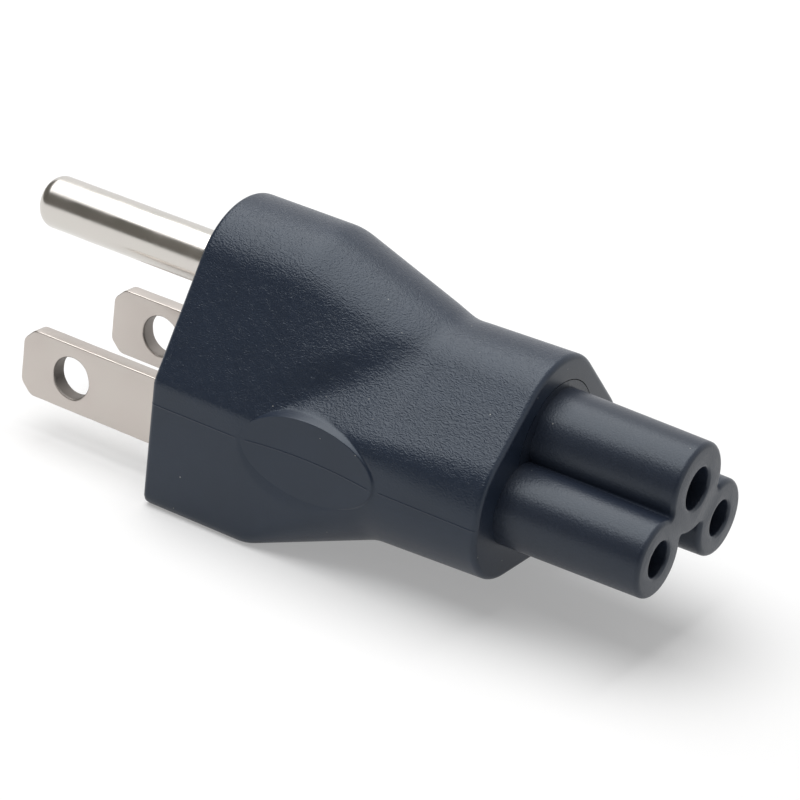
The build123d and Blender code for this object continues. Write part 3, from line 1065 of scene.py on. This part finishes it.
for column, end_x, inward, pocket, hole_lines in (
    (
        0,
        face_x,
        1,
        bridge_high.x - face_x,
        [
            hull_outline(
                [
                    (-mount_at["neutral_blade"].y, mount_at["neutral_blade"].z, bridge_margin + seam_gap),
                    (mount_at["neutral_blade"].y, mount_at["neutral_blade"].z, bridge_margin + seam_gap),
                    (0, pin_axis.z, bridge_margin + seam_gap),
                ],
                bridge_arc_steps,
            )
        ],
    ),
    (
        -1,
        front_x,
        -1,
        core_back - front_x,
        [
            nose_outline(lobe_draft + nose_seam_gap),
            circle_outline((0, earth_line_z - core_collar_drop), core_collar_radius + seam_gap, collar_points),
        ],
    ),
):
    last_ring = whole_ring(column)
    outline = [Vector((v.co.y, v.co.z)) for v in last_ring]
    inward_normals = left_normals(
        [Vector((point.x - math.copysign(bead_at(end_x, point.y), point.x), point.y)) for point in outline]
    )
    for k in range(rim_steps - 1, -1, -1):
        turn = math.pi / 2 * k / rim_steps
        inset = rim_round * (1 - math.sin(turn))
        x = end_x + inward * rim_round * (1 - math.cos(turn))
        new_ring = []
        for point, normal, old in zip(outline, inward_normals, last_ring):
            spot = point + normal * inset
            vertex = body_shell.verts.new((x, spot.x, spot.y))
            vertex[grain_layer] = face_grain + (old[grain_layer] - face_grain) * k / rim_steps
            new_ring.append(vertex)
        join_rings(body_shell, last_ring, new_ring)
        last_ring = new_ring
    punched_face(last_ring, end_x, pocket, hole_lines)


def grained_pvc(name, colour):
    """Soft black plastic: leathery grain where the skin says so, sheen that varies, and a little dust."""
    material, shader, node, wire, in_mm = new_material(name)
    shader.inputs["Specular IOR Level"].default_value = plastic_gloss
    shader.inputs["Specular Tint"].default_value = plastic_sheen
    grain = node("ShaderNodeAttribute", attribute_name="grain").outputs["Fac"]
    drift = node("ShaderNodeTexNoise", _Vector=in_mm, _Scale=1.2, _Detail=2.0)
    swirl = node("ShaderNodeVectorMath", operation="SCALE", _Vector=drift.outputs["Color"], _Scale=0.9)
    bent = node("ShaderNodeVectorMath", operation="ADD", _Vector=in_mm, _1=swirl.outputs["Vector"])
    bent = bent.outputs["Vector"]
    drawn = node("ShaderNodeVectorMath", operation="MULTIPLY", _Vector=bent, _1=grain_cells_per_mm)
    cells = node("ShaderNodeTexVoronoi", feature="SMOOTH_F1", _Vector=drawn.outputs["Vector"], _Scale=1.0)
    fine = node("ShaderNodeTexNoise", _Vector=in_mm, _Scale=6.0, _Detail=3.0, _Roughness=0.6)
    height = node(
        "ShaderNodeMath", operation="MULTIPLY_ADD", _0=fine.outputs["Fac"], _1=0.5, _2=cells.outputs["Distance"]
    )
    depth = node("ShaderNodeMath", operation="MULTIPLY", _0=height.outputs["Value"], _1=grain)
    bump = node("ShaderNodeBump", _Strength=1.0, _Distance=grain_depth * mm, _Height=depth.outputs["Value"])
    wire(bump.outputs["Normal"], shader.inputs["Normal"])
    gloss = node(
        "ShaderNodeMapRange", _Value=fine.outputs["Fac"],
        _From_Min=0.25, _From_Max=0.75, _To_Min=0.28, _To_Max=0.36,
    )
    wire(gloss.outputs["Result"], shader.inputs["Roughness"])
    clouds = node("ShaderNodeTexNoise", _Vector=in_mm, _Scale=0.3, _Detail=4.0)
    shade = mottled(node, clouds, colour, body_mottle)
    wire(dusted(node, in_mm, shade, 1.3, 0.055, 0.4), shader.inputs["Base Color"])
    return material


body_plastic = grained_pvc("black_pvc", (0.0175, 0.0258, 0.045))
finish_piece("overmould_skin", body_shell, body_plastic, "black_pvc", "overmould_body", crease=30)

# Floor, light and camera: a wide white floor under a soft overhead lamp, a white surround, a dim card on the
# near side and past the plug's end, and a long lens at the photograph's angle.
def seen_rays(node):
    """Give 1 for rays from the camera and for those that mirror or pass light, and 0 for the rest."""
    ray = node("ShaderNodeLightPath").outputs
    mirrored = node("ShaderNodeMath", operation="MAXIMUM", _0=ray["Is Camera Ray"], _1=ray["Is Glossy Ray"])
    passed = node(
        "ShaderNodeMath", operation="MAXIMUM", _0=mirrored.outputs["Value"], _1=ray["Is Transmission Ray"]
    )
    return passed.outputs["Value"]


floor_half_width = 3.0
floor_drop = 0.05
surround_level = 0.28
floor_bounce = 0.85
floor_shade = 0.7
floor_glow = 0.32
floor_mesh = bpy.data.meshes.new("floor")
floor_corners = [(-1, -1), (1, -1), (1, 1), (-1, 1)]
floor_mesh.from_pydata(
    [(sx * floor_half_width, sy * floor_half_width, -floor_drop * mm) for sx, sy in floor_corners],
    [],
    [(0, 1, 2, 3)],
)
floor_material, floor_shader, floor_node, floor_wire, _ = new_material("white_floor")
floor_shader.inputs["Roughness"].default_value = 0.9
floor_shader.inputs["Specular IOR Level"].default_value = 0.0
floor_shader.inputs["Emission Color"].default_value = (1, 1, 1, 1)
floor_seen = seen_rays(floor_node)
floor_tone = floor_node("ShaderNodeMapRange", _Value=floor_seen, _To_Min=floor_bounce, _To_Max=floor_shade)
floor_wire(floor_tone.outputs["Result"], floor_shader.inputs["Base Color"])
floor_lift = floor_node("ShaderNodeMath", operation="MULTIPLY", _Value=floor_seen, _1=floor_glow)
floor_wire(floor_lift.outputs["Value"], floor_shader.inputs["Emission Strength"])
floor_mesh.materials.append(floor_material)
floor = add_object("floor", floor_mesh)

world = bpy.data.worlds.new("surround")
bpy.context.scene.world = world
world.use_nodes = True
world_node, world_wire = node_maker(world.node_tree)
world_level = world_node(
    "ShaderNodeMapRange", _Value=seen_rays(world_node), _To_Min=surround_level, _To_Max=1.0
)
surround = world.node_tree.nodes["Background"]
surround.inputs["Color"].default_value = (1, 1, 1, 1)
world_wire(world_level.outputs["Result"], surround.inputs["Strength"])

lamp_spot = Vector((-0.14, -0.01, 0.43))
lamp_aim = Vector((-0.14, -0.01, 0))
lamp_width = 0.45
lamp_depth = 0.58
lamp_radiance = 3.0
lamp = bpy.data.lights.new("overhead_lamp", "AREA")
lamp.shape = "RECTANGLE"
lamp.size = lamp_width
lamp.size_y = lamp_depth
lamp.energy = lamp_radiance * math.pi * lamp_width * lamp_depth
hung_lamp = add_object("overhead_lamp", lamp)
hung_lamp.location = lamp_spot
hung_lamp.rotation_euler = (lamp_aim - lamp_spot).to_track_quat("-Z", "Y").to_euler()

card_left_x = -0.55
card_right_x = 0.7
card_near_y = -0.4
card_far_y = 0.3
card_height = 0.5
card_foot = [(card_right_x, card_near_y), (card_left_x, card_near_y), (card_left_x, card_far_y)]
card_mesh = bpy.data.meshes.new("dim_room_card")
card_mesh.from_pydata(
    [(*corner, z) for z in (0, card_height) for corner in card_foot], [], [(0, 1, 4, 3), (1, 2, 5, 4)]
)
card_material, card_shader, _, _, _ = new_material("dim_room_card")
card_shader.inputs["Base Color"].default_value = (0.23, 0.22, 0.2, 1)
card_shader.inputs["Roughness"].default_value = 1.0
card_shader.inputs["Specular IOR Level"].default_value = 0.0
card_mesh.materials.append(card_material)
card = add_object("dim_room_card", card_mesh)
card.visible_camera = False

camera_azimuth = 0.534833
camera_elevation = 0.437629
camera_roll = 0.124061
camera_distance = 286.21
camera_shift_right = 14.411
camera_shift_up = -0.088
camera_aim = Vector((-11.85, 0, 6.3))
camera_lens = 149.52
camera_sensor_width = 36

flat_right = Vector((math.cos(camera_azimuth), math.sin(camera_azimuth), 0))
back = Vector((
    math.sin(camera_azimuth) * math.cos(camera_elevation),
    -math.cos(camera_azimuth) * math.cos(camera_elevation),
    math.sin(camera_elevation),
))
flat_up = back.cross(flat_right)
right = flat_right * math.cos(camera_roll) + flat_up * math.sin(camera_roll)
up = flat_up * math.cos(camera_roll) - flat_right * math.sin(camera_roll)
camera_data = bpy.data.cameras.new("camera")
camera_data.lens = camera_lens
camera_data.sensor_width = camera_sensor_width
camera = add_object("camera", camera_data)
turned = Matrix((right, up, back)).transposed().to_4x4()
spot = camera_aim + back * camera_distance + right * camera_shift_right + up * camera_shift_up
camera.matrix_world = Matrix.Translation(spot * mm) @ turned
bpy.context.scene.camera = camera
bpy.context.scene.view_settings.view_transform = "Standard"
